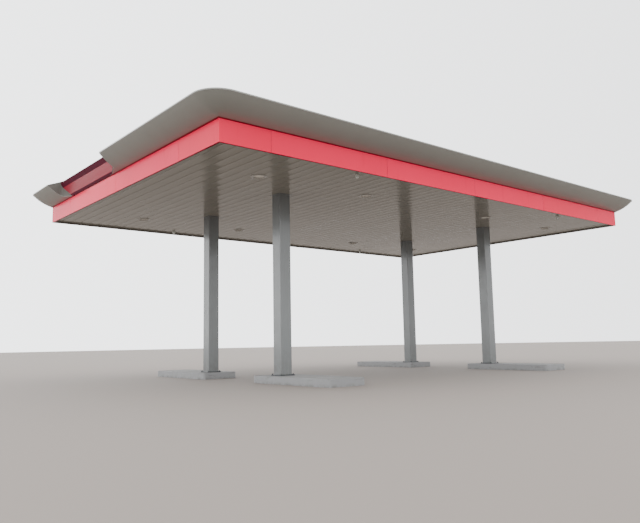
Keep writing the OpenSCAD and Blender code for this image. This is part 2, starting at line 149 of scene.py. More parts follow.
def cloudy(made, scale, detail=4.0, stretch=(1, 1, 1), low=0.35, high=0.65):
    """Cloudy patches, spread between 0 and 1."""
    clouds = noise(made, scale, detail, stretch, 0.6)
    return add(
        made, "MapRange", interpolation_type="SMOOTHSTEP", Value=clouds, From_Min=low, From_Max=high
    ).outputs[0]


def soft(made, scale, detail=2.0, stretch=(1, 1, 1)):
    """Noise as it comes, for shallow relief."""
    return noise(made, scale, detail, stretch, 0.5)


def feed(made, key, output):
    """Leads an output into the finish's shader."""
    made.node_tree.links.new(output, shader_of(made).inputs[key])


def tint(made, amount, strength, colour):
    """Turns the finish's colour towards another where amount is high."""
    socket = shader_of(made).inputs["Base Color"]
    before = socket.links[0].from_socket if socket.is_linked else socket.default_value
    part = maths(made, "MULTIPLY", amount, strength)
    mix = add(made, "Mix", data_type="RGBA", i0=part, i6=before, i7=(*colour, 1))
    feed(made, "Base Color", mix.outputs[2])


def relief(made, height, depth, strength=0.5):
    """Raises the surface by depth where height is high."""
    bump = add(made, "Bump", Height=height, Distance=depth, Strength=strength)
    feed(made, "Normal", bump.outputs[0])


def dress(made, *nodes):
    """Gives CAD nodes their finish."""
    for name in nodes:
        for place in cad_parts[name].material_slots:
            place.material = made


island_concrete = finish("island_concrete", (0.17, 0.167, 0.162), 0.85)
tint(island_concrete, cloudy(island_concrete, 1.4, 6), 0.5, (0.11, 0.107, 0.10))
stains = cloudy(island_concrete, 5, 5, low=0.55, high=0.7)
tint(island_concrete, stains, 0.5, (0.07, 0.066, 0.06))
dust = cloudy(island_concrete, 160, 2, low=0.55, high=0.75)
tint(island_concrete, dust, 0.4, (0.20, 0.195, 0.185))
relief(island_concrete, soft(island_concrete, 90, 5), 0.002)
dress(
    island_concrete, "island_front_left", "island_front_right", "island_back_left",
    "island_back_right",
)


# Island curbs: steel plate bent round the concrete, butt welded and enamelled light
# grey. Tyres and water have left dirt at the foot and scuffs along the edge.
def along(made, axis):
    """The place along an axis: 0, 1 or 2 for x, y or z."""
    return add(made, "SeparateXYZ", Vector=place_on(made)).outputs[axis]


def falling(made, amount, low, high):
    """1 where an amount is low or less, falling to 0 where it is high."""
    return add(
        made, "MapRange", Value=amount, From_Min=low, From_Max=high, To_Min=1.0, To_Max=0.0
    ).outputs[0]


def worn(made, amount, low, high):
    """Spreads the finish's roughness between low and high."""
    spread = add(made, "MapRange", Value=amount, To_Min=low, To_Max=high)
    feed(made, "Roughness", spread.outputs[0])


dirt_top = 0.09
island_curb = finish("island_curb", (0.195, 0.196, 0.198), 0.45)
by_ground = falling(island_curb, along(island_curb, 2), 0.0, dirt_top)
curb_dirt = maths(island_curb, "MULTIPLY", by_ground, cloudy(island_curb, 6, 5))
tint(island_curb, curb_dirt, 0.6, (0.07, 0.062, 0.053))
curb_scuffs = cloudy(island_curb, 3, 6, (1, 1, 4), 0.58, 0.66)
tint(island_curb, curb_scuffs, 0.4, (0.09, 0.086, 0.08))
worn(island_curb, cloudy(island_curb, 8), 0.35, 0.6)
relief(island_curb, soft(island_curb, 60, 3), 0.0006)
dress(island_curb, "island_curbs")

# Base plates: thick square plates at the foot of the columns, in dark grey enamel as
# the columns' hidden heads are. Each is held down by four anchor bolts with hexagonal
# nuts and round washers.
dark_plate = finish("dark_plate", (0.022, 0.026, 0.030), 0.5)
tint(dark_plate, cloudy(dark_plate, 12, 5, low=0.5, high=0.7), 0.5, (0.10, 0.09, 0.08))
worn(dark_plate, cloudy(dark_plate, 20), 0.4, 0.7)
relief(dark_plate, soft(dark_plate, 80, 3), 0.0005)
dress(dark_plate, "base_plates", "column_heads")


def modelled(name):
    """The piece that was just added or joined, under its name."""
    piece = bpy.context.active_object
    piece.name = name
    piece.data.name = name
    return piece


def only(piece):
    """Makes this piece the only one that is selected."""
    bpy.ops.object.select_all(action="DESELECT")
    piece.select_set(True)
    bpy.context.view_layer.objects.active = piece


def joined(name, pieces):
    """Joins pieces into one."""
    only(pieces[0])
    for piece in pieces:
        piece.select_set(True)
    if len(pieces) > 1:
        bpy.ops.object.join()
    return modelled(name)


def settled(piece, made, sharp=30):
    """Puts a modelled piece's place into its mesh and gives it its finish."""
    only(piece)
    bpy.ops.object.transform_apply(location=True, rotation=True, scale=True)
    bpy.ops.object.shade_smooth_by_angle(angle=math.radians(sharp))
    piece.data.materials.clear()
    piece.data.materials.append(made)
    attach(piece, "root")


def set_out(model, places):
    """Copies a modelled piece to each place (x, y, z, turn, tip) and joins the copies."""
    copies = []
    for x, y, z, turn, tip in places:
        copy = model.copy()
        copy.data = model.data.copy()
        bpy.context.collection.objects.link(copy)
        turning = Matrix.Rotation(turn, 4, "Z") @ Matrix.Rotation(tip, 4, "X")
        copy.matrix_world = Matrix.Translation((x, y, z)) @ turning @ model.matrix_world
        copies.append(copy)
    name = model.name
    bpy.data.objects.remove(model)
    return joined(name, copies)


def bevelled(piece, width, segments=2):
    """Rounds a piece's edges with an applied bevel."""
    only(piece)
    edge = piece.modifiers.new("edge", "BEVEL")
    edge.width, edge.segments, edge.limit_method = width, segments, "ANGLE"
    bpy.ops.object.modifier_apply(modifier="edge")
    return piece


def turned_bar(name, sides, radius, length, base, edge, segments=2):
    """A short upright bar from the height base, six-sided or round, with rounded edges."""
    bpy.ops.object.select_all(action="DESELECT")
    bpy.ops.mesh.primitive_cylinder_add(
        vertices=sides, radius=radius, depth=length, location=(0, 0, base + length / 2)
    )
    return bevelled(modelled(name), edge, segments)


column_xs, column_ys = (-4.60, 4.96), (-2.085, 1.865)
columns = [(x, y) for x in column_xs for y in column_ys]
plate_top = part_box("base_plates")[1].z
nut_out = 0.205
washer_t = 0.004
nut = turned_bar("nut", sides=6, radius=0.0208, length=0.019, base=washer_t, edge=0.0015)
washer = turned_bar(
    "washer", sides=24, radius=0.024, length=washer_t, base=0, edge=0.0008, segments=1
)
stud = turned_bar("stud", sides=16, radius=0.012, length=0.034, base=0, edge=0.002)
anchor_nuts = set_out(joined("anchor_nuts", [nut, washer, stud]), [
    (x + side_x * nut_out, y + side_y * nut_out, plate_top, 0.4 * side_x + x, 0)
    for x, y in columns for side_x in (-1, 1) for side_y in (-1, 1)
])
settled(anchor_nuts, dark_plate)

# Columns: square box sections in satin light grey enamel. Rain has run down from the
# ceiling in faint streaks, and the foot is splashed.
splash_low, splash_top = 0.2, 1.0
column_paint = finish("column_paint", (0.146, 0.154, 0.154), 0.2)
tint(column_paint, cloudy(column_paint, 5, 4, (1, 1, 0.05)), 0.25, (0.11, 0.115, 0.115))
by_foot = falling(column_paint, along(column_paint, 2), splash_low, splash_top)
splashes = maths(column_paint, "MULTIPLY", by_foot, cloudy(column_paint, 7, 5))
tint(column_paint, splashes, 0.35, (0.09, 0.08, 0.07))
worn(column_paint, cloudy(column_paint, 3, 5), 0.14, 0.24)
relief(column_paint, soft(column_paint, 2.2, 2), 0.0015, 0.4)
dress(
    column_paint, "column_front_left", "column_front_right", "column_back_left",
    "column_back_right", "column_collars",
)


# Collar screws: small pan-head steel screws, eight to a collar, driven up through it into
# the ceiling and painted with the columns.
def pick(piece, items, passes):
    """Selects only those of a piece's faces or edges that pass a test."""
    for group in (piece.data.vertices, piece.data.edges, piece.data.polygons):
        for item in group:
            item.select = False
    for item in items:
        item.select = passes(item)


def pan_head(name, radius):
    """Low domed head of a screw or rivet, facing down, with a small recess in its middle."""
    bpy.ops.object.select_all(action="DESELECT")
    bpy.ops.mesh.primitive_uv_sphere_add(
        segments=12, ring_count=6, radius=radius, location=(0, 0, 0)
    )
    head = modelled(name)
    bpy.ops.object.mode_set(mode="EDIT")
    bpy.ops.mesh.bisect(
        plane_co=(0, 0, 0.1 * radius), plane_no=(0, 0, 1), use_fill=True, clear_outer=True
    )
    bpy.ops.object.mode_set(mode="OBJECT")
    pick(head, head.data.polygons, lambda face: face.center.z < -0.9 * radius)
    bpy.ops.object.mode_set(mode="EDIT")
    bpy.ops.mesh.select_mode(type="FACE")
    bpy.ops.mesh.inset(thickness=0.1 * radius, depth=0)
    bpy.ops.transform.translate(value=(0, 0, 0.35 * radius))
    bpy.ops.mesh.select_mode(type="VERT")
    bpy.ops.object.mode_set(mode="OBJECT")
    head.scale = (1, 1, 0.5)
    return head


collar_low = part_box("column_collars")[0].z
collar_screw_out = 0.207
collar_screws = set_out(pan_head("collar_screws", radius=0.008), [
    (x + dx * collar_screw_out, y + dy * collar_screw_out, collar_low, 0, 0)
    for x, y in columns for dx in (-1, 0, 1) for dy in (-1, 0, 1) if dx or dy
])
settled(collar_screws, column_paint)


# Foot welds: a fillet bead of weld round the foot of each column, ground a little and
# painted over with the column.
def flat_sheet(name, size_x, size_y, place, turn=(0, 0, 0)):
    """A flat sheet at a place, level unless it is turned."""
    bpy.ops.object.select_all(action="DESELECT")
    bpy.ops.mesh.primitive_plane_add(size=1, location=place, rotation=turn)
    sheet = modelled(name)
    sheet.scale = (size_x, size_y, 1)
    bpy.ops.object.transform_apply(location=True, rotation=True, scale=True)
    return sheet


def thickened(piece, thickness, even=True):
    """Gives a sheet its thickness, half to each side, with an applied modifier."""
    only(piece)
    wall = piece.modifiers.new("wall", "SOLIDIFY")
    wall.thickness, wall.offset, wall.use_even_offset = thickness, 0, even
    bpy.ops.object.modifier_apply(modifier="wall")
    return piece


weld_w, weld_corner, weld_leg, weld_h, weld_t = 0.390, 0.028, 0.009, 0.010, 0.002
weld = flat_sheet("foot_welds", weld_w, weld_w, (0, 0, weld_t / 2))
bpy.ops.object.mode_set(mode="EDIT")
bpy.ops.mesh.bevel(offset=weld_corner, segments=5, affect="VERTICES")
bpy.ops.mesh.inset(thickness=weld_leg, depth=0)
bpy.ops.transform.translate(value=(0, 0, weld_h))
bpy.ops.mesh.delete(type="ONLY_FACE")
bpy.ops.object.mode_set(mode="OBJECT")
thickened(weld, weld_t, even=False)
foot_welds = set_out(weld, [(x, y, plate_top, 0, 0) for x, y in columns])
settled(foot_welds, column_paint)

# Steel frame: rolled beams, rafters on cleats, the ceiling's tubes and hangers, the
# fascia's frames and the brim's ribs, in a grey primer with some rust bleeding through.
frame_steel = finish("frame_steel", (0.085, 0.078, 0.074), 0.62)
tint(frame_steel, cloudy(frame_steel, 4, 6, low=0.56, high=0.7), 0.6, (0.10, 0.04, 0.02))
relief(frame_steel, soft(frame_steel, 50, 4), 0.0008)
dress(
    frame_steel, "beam_front", "beam_back", "rafters", "rafter_cleats", "soffit_rails",
    "soffit_hangers", "fascia_frames", "brim_ribs",
)

# Ceiling: roll-formed planks in a gloss warm grey coil coating, side by side with open
# grooves. Each plank is cambered, tipped and dented a little in its own way, and takes
# the light a little differently.
plank_pitch = 0.3
plank_camber, plank_tip, plank_dent = 0.012, 0.0018, 0.003
ceiling_plank = finish("ceiling_plank", (0.240, 0.230, 0.199), 0.12, specular=0.06)
plank_count = maths(ceiling_plank, "DIVIDE", along(ceiling_plank, 0), plank_pitch)
plank_number = maths(ceiling_plank, "FLOOR", plank_count)
plank_tone = add(
    ceiling_plank, "TexWhiteNoise", noise_dimensions="1D", W=plank_number
).outputs[0]
tint(ceiling_plank, plank_tone, 0.3, (0.288, 0.270, 0.240))
plank_clouds = cloudy(ceiling_plank, 0.6, 2, (3, 1, 1), 0.3, 0.7)
tint(ceiling_plank, plank_clouds, 0.25, (0.214, 0.200, 0.174))
worn(ceiling_plank, cloudy(ceiling_plank, 0.8, 2, (3, 1, 1), 0.3, 0.7), 0.09, 0.16)
across = maths(ceiling_plank, "FRACT", plank_count)
arch = maths(ceiling_plank, "MULTIPLY", across, maths(ceiling_plank, "SUBTRACT", 1.0, across))
camber = maths(ceiling_plank, "MULTIPLY", arch, -plank_camber)
tip = add(ceiling_plank, "MapRange", Value=plank_tone, To_Min=-plank_tip, To_Max=plank_tip)
tipped = maths(ceiling_plank, "MULTIPLY_ADD", across, tip.outputs[0], camber)
dents = soft(ceiling_plank, 1.3, 2, (2.5, 0.7, 1))
dented = maths(ceiling_plank, "MULTIPLY_ADD", dents, plank_dent, tipped)
relief(ceiling_plank, dented, 1.0, 1.0)
dress(ceiling_plank, "soffit_left", "soffit_middle", "soffit_right")

# Ceiling trims: painted steel angles round the ceiling's edge, which carry the planks'
# ends and close the fascia's inner side, in a duller and browner grey.
ceiling_trim = finish("ceiling_trim", (0.13, 0.117, 0.103), 0.35)
tint(ceiling_trim, cloudy(ceiling_trim, 3, 4), 0.3, (0.09, 0.08, 0.07))
dress(ceiling_trim, "soffit_trims")

# Fascia: trays of composite sheet, folded top and bottom and hung on the frame, in a
# high-gloss red that picks up the sky. Each panel is a touch out of flat, and the fold
# along the foot is painted dark red as shade.
half_x, half_y = 8.65, 5.45
fascia_low, fascia_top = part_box("fascia_front")[0].z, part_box("fascia_front")[1].z
panel_l = 3.66
hem_shade_low, hem_shade_top = fascia_low + 0.0015, fascia_low + 0.0025
fascia_red = finish("fascia_panel", (0.78, 0.017, 0.070), 0.16, specular=0.04)
tint(fascia_red, cloudy(fascia_red, 0.5, 2, low=0.3, high=0.7), 0.25, (0.85, 0.028, 0.090))
fascia_streaks = cloudy(fascia_red, 7, 3, (1, 1, 0.12), 0.55, 0.8)
tint(fascia_red, fascia_streaks, 0.15, (0.40, 0.004, 0.020))
panel_place = add(
    fascia_red, "VectorMath", operation="SCALE", i0=place_on(fascia_red), Scale=1 / panel_l
).outputs[0]
panel_number = add(fascia_red, "VectorMath", operation="FLOOR", i0=panel_place).outputs[0]
panel_flat = add(
    fascia_red, "VectorMath", operation="MULTIPLY", i0=panel_number, i1=(1, 1, 0)
).outputs[0]
panel_tone = add(fascia_red, "TexWhiteNoise", Vector=panel_flat).outputs[0]
tint(fascia_red, panel_tone, 0.3, (0.66, 0.010, 0.035))
# Painted shade: the fold along the panels' foot is tinted dark red, as it looks in shade.
painted_hem_shade = falling(fascia_red, along(fascia_red, 2), hem_shade_low, hem_shade_top)
tint(fascia_red, painted_hem_shade, 1.0, (0.20, 0.006, 0.016))
relief(fascia_red, soft(fascia_red, 0.8, 2), 0.012, 0.4)
dress(fascia_red, "fascia_front", "fascia_right", "fascia_back", "fascia_left")

# Joint seals: strips of dark sealant pressed into the open joints between two panels of
# the fascia, set back a little from their faces.
seal_dark = finish("joint_seal", (0.05, 0.006, 0.010), 0.55)
relief(seal_dark, soft(seal_dark, 120, 3), 0.0004)
seal_w, seal_t, seal_in = 0.008, 0.003, 0.0035
seal_h, seal_mid = fascia_top - fascia_low - 0.001, (fascia_low + fascia_top) / 2
quarter = math.pi / 2
bpy.ops.object.select_all(action="DESELECT")
bpy.ops.mesh.primitive_cube_add(size=1, location=(0, 0, 0), scale=(seal_w, seal_t, seal_h))
seal = modelled("joint_seals")
bpy.ops.object.transform_apply(location=True, rotation=True, scale=True)
bevelled(seal, 0.0012)
seal_places = [
    (i * panel_l, side * (half_y - seal_in), seal_mid, 0, 0)
    for i in range(-2, 3) for side in (-1, 1)
] + [
    (side * (half_x - seal_in), i * panel_l, seal_mid, quarter, 0)
    for i in (-1, 0, 1) for side in (-1, 1)
]
settled(set_out(seal, seal_places), seal_dark)

# Fascia rivets: domed aluminium rivets in the panels' red, which fix the trays' lower
# returns to the frame above them.
rivet_pitch, rivet_in = 0.366, 0.027
rivet_xs = [(i + 0.5) * rivet_pitch for i in range(-23, 23)]
rivet_ys = [(i + 0.5) * rivet_pitch for i in range(-14, 14)]
rivet_places = [
    (x, side * (half_y - rivet_in), fascia_low, 0, 0) for x in rivet_xs for side in (-1, 1)
] + [
    (side * (half_x - rivet_in), y, fascia_low, 0, 0) for y in rivet_ys for side in (-1, 1)
]
fascia_rivets = set_out(pan_head("fascia_rivets", radius=0.006), rivet_places)
settled(fascia_rivets, fascia_red)

# Brim: sheet metal bent over ribs into a swelling eave that flares out over the fascia
# and turns the corners, in the ceiling's gloss warm grey. The ends of the sign's recess
# are painted a darker grey as shade, and made rougher.
brim_out = 0.62
belly_r, belly_in, belly_up = 1.481, 0.433, 1.416
ridge_up, ridge_slope = 0.63, 0.3629
recess_mid, recess_half, recess_wide = 1.81, 1.50, 2.17
skin_near, skin_far = 0.006, 0.011
brim_sheet = finish("brim_sheet", (0.204, 0.205, 0.184), 0.3)
brim_light = cloudy(brim_sheet, 0.35, 2, low=0.2, high=0.8)
tint(brim_sheet, brim_light, 0.3, (0.178, 0.178, 0.161))
brim_clouds = cloudy(brim_sheet, 2.4, 3, low=0.35, high=0.95)
tint(brim_sheet, brim_clouds, 0.2, (0.144, 0.143, 0.129))
worn(brim_sheet, cloudy(brim_sheet, 0.9, 2, low=0.3, high=0.7), 0.29, 0.37)
relief(brim_sheet, soft(brim_sheet, 0.8, 1), 0.005, 0.35)
on_section = add(
    brim_sheet, "VectorMath", operation="MULTIPLY", i0=place_on(brim_sheet), i1=(1, 0, 1)
).outputs[0]
belly = add(
    brim_sheet, "VectorMath", operation="DISTANCE", i0=on_section,
    i1=(belly_in - half_x, 0, fascia_top + belly_up),
).outputs[1]
slope = add(
    brim_sheet, "VectorMath", operation="DOT_PRODUCT", i0=on_section, i1=(-ridge_slope, 0, 1)
).outputs[1]
slope_top = fascia_top + ridge_up + ridge_slope * half_x
brim_x, lip_x = along(brim_sheet, 0), -half_x - brim_out
off_mid = maths(
    brim_sheet, "ABSOLUTE", maths(brim_sheet, "SUBTRACT", along(brim_sheet, 1), recess_mid)
)
inside_belly = falling(brim_sheet, belly, belly_r - skin_far, belly_r - skin_near)
under_slope = falling(brim_sheet, slope, slope_top - skin_far, slope_top - skin_near)
past_fascia = falling(brim_sheet, brim_x, -half_x - 0.002, -half_x)
short_of_lip = add(
    brim_sheet, "MapRange", Value=brim_x, From_Min=lip_x + 0.012, From_Max=lip_x + 0.016
).outputs[0]
by_recess = falling(brim_sheet, off_mid, recess_wide + 0.07, recess_wide + 0.09)
recess_end = inside_belly
for limit in (under_slope, past_fascia, short_of_lip, by_recess):
    recess_end = maths(brim_sheet, "MULTIPLY", recess_end, limit)
# Painted shade: the ends of the sign's recess are tinted a darker grey for the shade they stand in.
tint(brim_sheet, recess_end, 1.0, (0.095, 0.089, 0.079))
brim_gloss = shader_of(brim_sheet).inputs["Roughness"].links[0].from_socket
feed(brim_sheet, "Roughness", maths(brim_sheet, "MULTIPLY_ADD", recess_end, 0.6, brim_gloss))
dress(
    brim_sheet, "brim_front", "brim_right", "brim_back", "brim_left_front", "brim_left_back",
    "brim_corners", "sign_backing",
)

# Brim foot: a dark red strip, bent to the brim's slope, along the joint between the brim
# and the fascia. Its dark red is painted shade and a painted reflection of the fascia's
# red in that joint. It stops at the sign's recess.
painted_foot_shade = finish("brim_foot_shade_strip", (0.17, 0.012, 0.020), 0.4)
tint(painted_foot_shade, cloudy(painted_foot_shade, 9, 4), 0.4, (0.06, 0.006, 0.010))


def ring_sheet(name, inner, outer):
    """A sloping band all round the canopy, from its inner to its outer edge. Each is
    given as its distance out from the fascia and up from the fascia's top."""
    (inner_out, inner_up), (outer_out, outer_up) = inner, outer
    ring = flat_sheet(
        name, 2 * (half_x + outer_out), 2 * (half_y + outer_out), (0, 0, fascia_top + outer_up)
    )
    bpy.ops.object.mode_set(mode="EDIT")
    bpy.ops.mesh.select_all(action="SELECT")
    bpy.ops.mesh.inset(thickness=outer_out - inner_out, depth=0)
    bpy.ops.transform.translate(value=(0, 0, inner_up - outer_up))
    bpy.ops.mesh.delete(type="ONLY_FACE")
    bpy.ops.object.mode_set(mode="OBJECT")
    return ring


def cut_away(piece, y_low, y_high):
    """Takes the stretch from y_low to y_high out of a band's left side."""
    only(piece)
    bpy.ops.object.mode_set(mode="EDIT")
    for y in (y_low, y_high):
        bpy.ops.mesh.select_all(action="SELECT")
        bpy.ops.mesh.bisect(plane_co=(0, y, 0), plane_no=(0, 1, 0))
    bpy.ops.object.mode_set(mode="OBJECT")
    pick(
        piece, piece.data.polygons,
        lambda face: face.center.x < 0 and y_low < face.center.y < y_high,
    )
    bpy.ops.object.mode_set(mode="EDIT")
    bpy.ops.mesh.select_mode(type="FACE")
    bpy.ops.mesh.delete(type="FACE")
    bpy.ops.mesh.select_mode(type="VERT")
    bpy.ops.object.mode_set(mode="OBJECT")


foot_shade_strips = ring_sheet("brim_foot_shade_strips", inner=(0.002, -0.0015), outer=(0.045, 0.012))
cut_away(foot_shade_strips, recess_mid - recess_half, recess_mid + recess_half)
thickened(foot_shade_strips, 0.003)
settled(foot_shade_strips, painted_foot_shade)

# Lip trim: a folded channel pushed over the brim's lip, turning the round corners with
# it, in the brim's paint. It stops where the recess opens.
trim_wall, trim_h, trim_deep, trim_up = 0.004, 0.036, 0.012, 0.388
trim_out = brim_out + trim_wall
lip_trim = flat_sheet(
    "lip_trim", 2 * (half_x + trim_out), 2 * (half_y + trim_out), (0, 0, fascia_top + trim_up)
)
bpy.ops.object.mode_set(mode="EDIT")
bpy.ops.mesh.bevel(offset=trim_out, segments=24, affect="VERTICES")
bpy.ops.mesh.inset(thickness=trim_deep, depth=0)
bpy.ops.mesh.delete(type="FACE")
bpy.ops.object.mode_set(mode="OBJECT")
cut_away(lip_trim, recess_mid - recess_wide - 0.005, recess_mid + recess_wide + 0.005)
thickened(lip_trim, trim_h)
bevelled(lip_trim, 0.003)
settled(lip_trim, brim_sheet)


# Ridge coping: folded sheet over the parapet's top, down the brim's slope on the outer
# side and turned down over the parapet on the inner one.
def meets(a, b):
    """Whether two sizes are the same, to a tenth of a millimetre."""
    return abs(a - b) < 0.0001


def folded(piece, at_fold, step):
    """Folds a sheet on from the edges whose ends pass a test, by a step."""
    only(piece)
    points = piece.data.vertices
    pick(
        piece, piece.data.edges, lambda edge: all(at_fold(points[i].co) for i in edge.vertices)
    )
    bpy.ops.object.mode_set(mode="EDIT")
    bpy.ops.mesh.select_mode(type="EDGE")
    bpy.ops.mesh.extrude_edges_move(TRANSFORM_OT_translate={"value": step})
    bpy.ops.mesh.select_mode(type="VERT")
    bpy.ops.object.mode_set(mode="OBJECT")


parapet_w = 0.057
coping_out, coping_gap, coping_down = 0.09, 0.002, 0.07
coping_up = ridge_up + coping_gap
coping = ring_sheet(
    "ridge_coping", inner=(0.0, coping_up),
    outer=(coping_out, coping_up - coping_out * ridge_slope),
)
for inwards, down in ((parapet_w + coping_gap, 0.0), (0.0, coping_down)):
    reach_y = min(abs(point.co.y) for point in coping.data.vertices)
    reach_x = min(abs(point.co.x) for point in coping.data.vertices)
    folded(coping, lambda at: meets(abs(at.y), reach_y), (0, 0, -down))
    narrower = ((reach_x - inwards) / reach_x, (reach_y - inwards) / reach_y, 1)
    bpy.ops.object.mode_set(mode="EDIT")
    bpy.ops.transform.resize(value=narrower, center_override=(0, 0, 0))
    bpy.ops.object.mode_set(mode="OBJECT")
thickened(coping, 0.002)
settled(coping, brim_sheet)

# Coping straps: short cover pieces of folded sheet that lap the joints between two
# lengths of coping.
strap_w, strap_t, strap_pitch = 0.10, 0.0015, 3.7
strap_out, strap_in, strap_down = coping_out + 0.002, parapet_w + 0.003, 0.072
strap = flat_sheet("coping_straps", strap_w, strap_out, (0, -strap_out / 2, 0))
for point in strap.data.vertices:
    point.co.z = min(point.co.y, 0) * ridge_slope
folded(strap, lambda at: meets(at.y, 0), (0, strap_in, 0))
folded(strap, lambda at: at.y > parapet_w, (0, 0, -strap_down))
thickened(strap, strap_t)
strap_z = fascia_top + ridge_up + 0.005
strap_xs = [(i + 0.5) * strap_pitch for i in range(-2, 2)]
strap_places = [(x, -half_y, strap_z, 0, 0) for x in strap_xs]
strap_places += [(x, half_y, strap_z, 2 * quarter, 0) for x in strap_xs]
strap_places += [(half_x, y, strap_z, quarter, 0) for y in strap_xs[1:3]]
strap_places += [(-half_x, y, strap_z, -quarter, 0) for y in strap_xs[1:3]]
settled(set_out(strap, strap_places), brim_sheet)

# Sign: a bare gloss panel that leans out in the recess, in deep red, with a folded
# maroon cover over its head and a sill over its foot. The cover's and sill's dark maroon
# is partly painted shade: the shadow under the brim at the sign's head, and the shade
# and red reflection in the gap at its foot.
sign_panel = finish("sign_panel", (0.30, 0.02, 0.04), 0.25, specular=0.25)
tint(sign_panel, cloudy(sign_panel, 1.2, 4), 0.3, (0.26, 0.035, 0.05))
relief(sign_panel, soft(sign_panel, 1.4, 2), 0.006, 0.3)
dress(sign_panel, "sign_face")
# Painted shade in part: the case's dark maroon stands for the shadow over the sign's head and in
# the gap at its foot.
sign_case = finish("sign_case", (0.075, 0.010, 0.022), 0.6, specular=0.02)
tint(sign_case, cloudy(sign_case, 5, 5), 0.35, (0.07, 0.012, 0.020))
relief(sign_case, soft(sign_case, 3, 2), 0.002)
dress(sign_case, "sign_box", "sign_cover")

# Sign screws: domed steel screws along the front lip of the sign's cover, square to its
# lean, in the cover's paint.
sign_lean = math.atan2(0.22, 0.483)
sign_screw_out, sign_screw_up, sign_screw_pitch = 0.2220, 0.424, 0.475
sign_screws = set_out(pan_head("sign_screws", radius=0.009), [
    (
        -half_x - sign_screw_out, recess_mid + i * sign_screw_pitch,
        fascia_top + sign_screw_up, quarter, quarter - sign_lean,
    )
    for i in range(-4, 5)
])
settled(sign_screws, sign_case)

# Roof: trapezoidal sheets with a zinc and aluminium coating, weathered in cloudy
# patches and streaked towards the end gutters.
roof_sheet = finish("roof_sheet", (0.46, 0.47, 0.48), 0.42, metallic=0.75)
tint(roof_sheet, cloudy(roof_sheet, 1.1, 6), 0.45, (0.34, 0.34, 0.34))
tint(roof_sheet, cloudy(roof_sheet, 6, 5, (0.08, 1, 1), 0.52, 0.7), 0.4, (0.22, 0.20, 0.18))
worn(roof_sheet, cloudy(roof_sheet, 4, 5), 0.32, 0.6)
dress(roof_sheet, "roof_left", "roof_right", "gutters")

# Ridge flashing: a folded strip of the roof's coated steel over the line where the two
# runs of roof sheet meet, its edges turned down.
rafter_end = 8.28
roof_slope = 0.05 / rafter_end
crest = fascia_top + 0.042
deck_half = 5.385
flashing_t = 0.0015


def laid_on_roof(name, size_x, size_y, place):
    """A sheet that falls with the roof, on both sides of the ridge."""
    sheet = flat_sheet(name, size_x, size_y, place)
    for point in sheet.data.vertices:
        point.co.z -= abs(point.co.x) * roof_slope
    return sheet


cap_w, cap_up, cap_rise, cap_down = 0.40, 0.004, 0.003, 0.018
ridge_cap = laid_on_roof("ridge_flashing", cap_w, 2 * deck_half - 0.02, (0, 0, crest + cap_up))
bpy.ops.object.mode_set(mode="EDIT")
bpy.ops.mesh.bisect(plane_co=(0, 0, 0), plane_no=(1, 0, 0))
bpy.ops.transform.translate(value=(0, 0, cap_rise))
bpy.ops.object.mode_set(mode="OBJECT")
folded(ridge_cap, lambda at: abs(at.x) > cap_w / 2 - 0.001, (0, 0, -cap_down))
thickened(ridge_cap, flashing_t)
settled(ridge_cap, roof_sheet)

# Side flashings: angles fixed to the parapet that lap over the outermost rib, one for
# each run of roof sheet, following its fall.
ends, sides = {-1: "left", 1: "right"}, {-1: "front", 1: "back"}
flashing_l, apron, upstand = 8.589, 0.13, 0.09
for side_x in (-1, 1):
    for side_y in (-1, 1):
        wall_y = side_y * (half_y - parapet_w - flashing_t)
        angle = laid_on_roof(
            f"side_flashing_{sides[side_y]}_{ends[side_x]}", flashing_l, apron,
            (side_x * flashing_l / 2, wall_y - side_y * apron / 2, crest + 0.002),
        )
        folded(angle, lambda at: meets(at.y, wall_y), (0, 0, upstand))
        thickened(angle, flashing_t)
        settled(angle, roof_sheet)

# End flashings: sheets fixed to the end parapets that run down into the gutters and end
# in a drip fold.
end_x, end_mid, end_h = half_x - parapet_w - 0.0022, 5.80, 0.19
drip_in, drip_down = 0.012, 0.010
for side_x in (-1, 1):
    end_sheet = flat_sheet(
        f"end_flashing_{ends[side_x]}", end_h, 2 * deck_half + 0.01,
        (side_x * end_x, 0, end_mid), (0, side_x * quarter, 0),
    )
    end_low = min(point.co.z for point in end_sheet.data.vertices)
    folded(end_sheet, lambda at: meets(at.z, end_low), (-side_x * drip_in, 0, -drip_down))
    thickened(end_sheet, flashing_t)
    settled(end_sheet, roof_sheet)

# Gutter stops: folded sheets let into the gutters' ends, up to the side flashings'
# aprons, with a lip along the gutters' floor.
gutter_in, gutter_out = 8.312, 8.596
gutter_mid = (gutter_in + gutter_out) / 2
stop_low, stop_high, stop_lip = 5.6465, 5.7745, 0.012
for side_x in (-1, 1):
    for side_y in (-1, 1):
        stop = flat_sheet(
            f"gutter_stop_{sides[side_y]}_{ends[side_x]}", gutter_out - gutter_in - 0.009,
            stop_high - stop_low,
            (side_x * gutter_mid, side_y * (deck_half + 0.003), (stop_low + stop_high) / 2),
            (quarter, 0, 0),
        )
        folded(stop, lambda at: at.z < stop_low + 0.001, (0, -side_y * stop_lip, 0))
        thickened(stop, flashing_t)
        settled(stop, roof_sheet)

